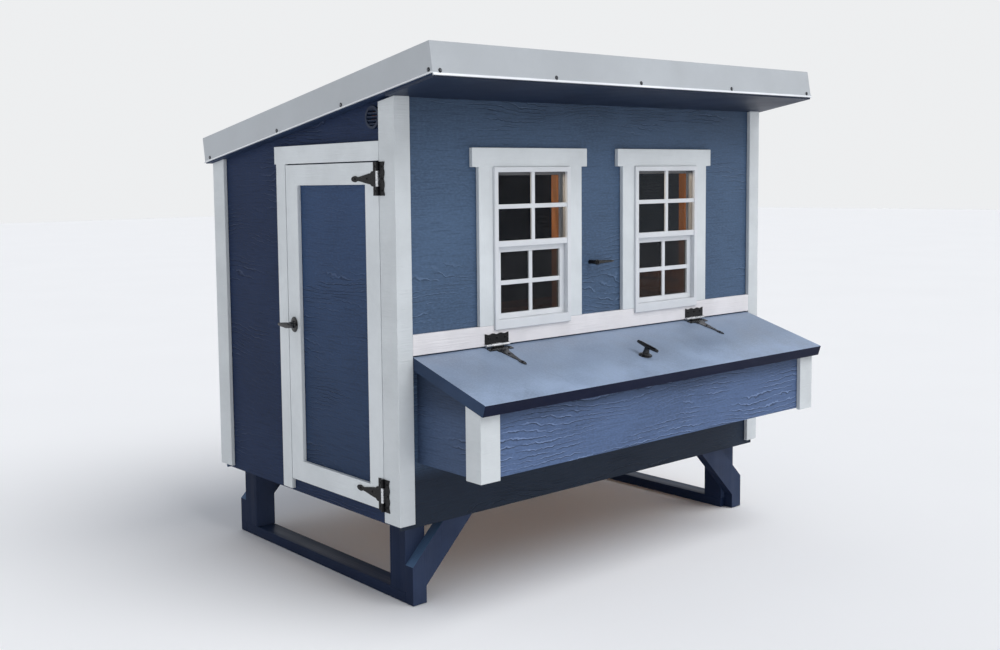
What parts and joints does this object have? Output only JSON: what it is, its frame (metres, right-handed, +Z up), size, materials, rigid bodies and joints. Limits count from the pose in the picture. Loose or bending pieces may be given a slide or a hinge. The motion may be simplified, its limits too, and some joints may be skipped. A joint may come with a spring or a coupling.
{
  "type": "chicken coop",
  "caption": "Raised wooden chicken coop with a hinged door, sash windows, a front nest box under a lifting lid and a drop-down ramp.",
  "frame": {"origin": "centre of the overall footprint, on the ground", "axes": "+X along the long front towards the ramp wall, +Y towards the back wall, +Z up"},
  "size_m": [1.93, 1.4968, 1.758],
  "materials": {
    "blue_siding": "painted, satin",
    "navy_framing": "painted, satin",
    "lid_paint": "painted, satin",
    "white_trim": "painted, satin",
    "roof_metal": "light grey enamel",
    "window_vinyl": "satin",
    "window_glass": "clear",
    "black_iron": "black enamel",
    "bare_pine": "bare"
  },
  "bodies": {
    "house": {"leg_front_left": "navy_framing", "leg_front_right": "navy_framing", "leg_back_left": "navy_framing", "leg_back_right": "navy_framing", "runner_left": "navy_framing", "runner_right": "navy_framing", "floor_frame": "navy_framing", "soffit": "navy_framing", "floor_deck": "bare_pine", "roof_frame": "bare_pine", "nest_dividers": "bare_pine", "roost": "bare_pine", "wall_front": "blue_siding", "wall_back": "blue_siding", "wall_left": "blue_siding", "wall_right": "blue_siding", "nest_box": "blue_siding", "gable_vent": "blue_siding", "roof_sheet": "roof_metal", "roof_edge_trim": "roof_metal", "corner_trim_front_left": "white_trim", "corner_trim_front_right": "white_trim", "corner_trim_back_left": "white_trim", "corner_trim_back_right": "white_trim", "belt_trim": "white_trim", "door_casing": "white_trim", "window_casing_left": "white_trim", "window_casing_right": "white_trim", "nest_trim_left": "white_trim", "nest_trim_right": "white_trim", "pop_casing": "white_trim", "window_frame_left": "window_vinyl", "window_frame_right": "window_vinyl", "upper_glass_left": "window_glass", "upper_glass_right": "window_glass", "door_hinge_leaf_lower": "black_iron", "door_hinge_leaf_upper": "black_iron", "lid_hinge_leaf_left": "black_iron", "lid_hinge_leaf_right": "black_iron", "lid_catch_screw": "black_iron", "ramp_hinge_leaf": "black_iron"},
    "door": {"door_frame": "white_trim", "door_panel": "blue_siding", "door_hinge_strap_lower": "black_iron", "door_hinge_strap_upper": "black_iron", "door_handle_base": "black_iron"},
    "door_handle": {"door_handle": "black_iron"},
    "nest_lid": {"nest_lid": "lid_paint", "lid_hinge_strap_left": "black_iron", "lid_hinge_strap_right": "black_iron", "lid_handle_base": "black_iron"},
    "lid_handle": {"lid_handle": "black_iron"},
    "left_sash": {"lower_sash_left": "window_vinyl", "lower_glass_left": "window_glass"},
    "right_sash": {"lower_sash_right": "window_vinyl", "lower_glass_right": "window_glass"},
    "lid_catch": {"lid_catch": "black_iron"},
    "ramp": {"ramp_panel": "blue_siding", "ramp_hinge_strap": "black_iron"},
    "ramp_button": {"ramp_button": "white_trim"}
  },
  "joints": [
    {"name": "door_hinge", "type": "hinge", "parent": "house", "child": "door", "pos_m": [-0.9286, -0.33422, 0.865], "axis": [0, 0, 1], "range_deg": [0, 110]},
    {"name": "door_handle_turn", "type": "hinge", "parent": "door", "child": "door_handle", "pos_m": [-0.928, 0.16728, 0.866], "axis": [1, 0, 0], "range_deg": [0, 90]},
    {"name": "lid_hinge", "type": "hinge", "parent": "house", "child": "nest_lid", "pos_m": [0.007, -0.42272, 0.814], "axis": [-1, 0, 0], "range_deg": [0, 90]},
    {"name": "lid_handle_turn", "type": "hinge", "parent": "nest_lid", "child": "lid_handle", "pos_m": [0.003, -0.61729, 0.74928], "axis": [0, -0.299, 0.9542], "range_deg": [0, 90]},
    {"name": "left_sash_slide", "type": "slide", "parent": "house", "child": "left_sash", "axis": [0, 0, 1], "range_m": [0, 0.22]},
    {"name": "right_sash_slide", "type": "slide", "parent": "house", "child": "right_sash", "axis": [0, 0, 1], "range_m": [0, 0.22]},
    {"name": "lid_catch_turn", "type": "hinge", "parent": "house", "child": "lid_catch", "pos_m": [-0.045, -0.43672, 1.062], "axis": [0, -1, 0], "range_deg": [0, 90]},
    {"name": "ramp_hinge", "type": "hinge", "parent": "house", "child": "ramp", "pos_m": [0.9415, 0.06328, 0.369], "axis": [0, 1, 0], "range_deg": [0, 130]},
    {"name": "ramp_button_turn", "type": "hinge", "parent": "house", "child": "ramp_button", "pos_m": [0.944, 0.06328, 0.968], "axis": [1, 0, 0], "range_deg": [0, 90]}
  ]
}
